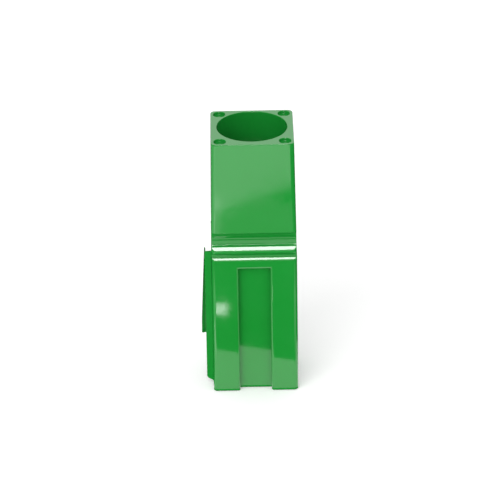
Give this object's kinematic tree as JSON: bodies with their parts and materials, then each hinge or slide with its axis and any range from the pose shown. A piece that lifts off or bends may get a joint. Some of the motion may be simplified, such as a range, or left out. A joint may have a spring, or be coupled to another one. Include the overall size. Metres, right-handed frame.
{
  "type": "single-pole modular cable connector",
  "caption": "Hermaphroditic single-pole power cable connector: dovetailed green housing, silver-plated contact with a crimp barrel, and a leaf spring.",
  "frame": {"origin": "centre of the square body, in the plane of the mating end that it stands on", "axes": "+Z from the mating end up to the cable entry; -Y out of the hood's slotted front face; +Y the contact tray's side; -X the face with the long wedge-shaped tongue"},
  "size_m": [0.0276, 0.0276, 0.078],
  "materials": {
    "housing_plastic": "glossy moulded polycarbonate, green right through",
    "plated_copper": "silver-plated copper, satin, slightly tarnished",
    "spring_steel": "stainless spring strip, rolled finish"
  },
  "bodies": {
    "housing": {"housing": "housing_plastic"},
    "contact": {"contact": "plated_copper"},
    "contact_spring": {"contact_spring": "spring_steel"}
  },
  "joints": [
    {"name": "contact_rock", "type": "hinge", "parent": "housing", "child": "contact", "pos_m": [0, 0.0007, 0.045], "axis": [1, 0, 0], "range_deg": [0, 1.6], "stiffness_Nm_per_rad": 20},
    {"name": "spring_flex", "type": "hinge", "parent": "housing", "child": "contact_spring", "pos_m": [0, 0.0058, 0.0285], "axis": [1, 0, 0], "range_deg": [0, 3.2]}
  ],
  "couplings": [
    {"joint": "spring_flex", "follows": "contact_rock", "ratio": 2}
  ]
}
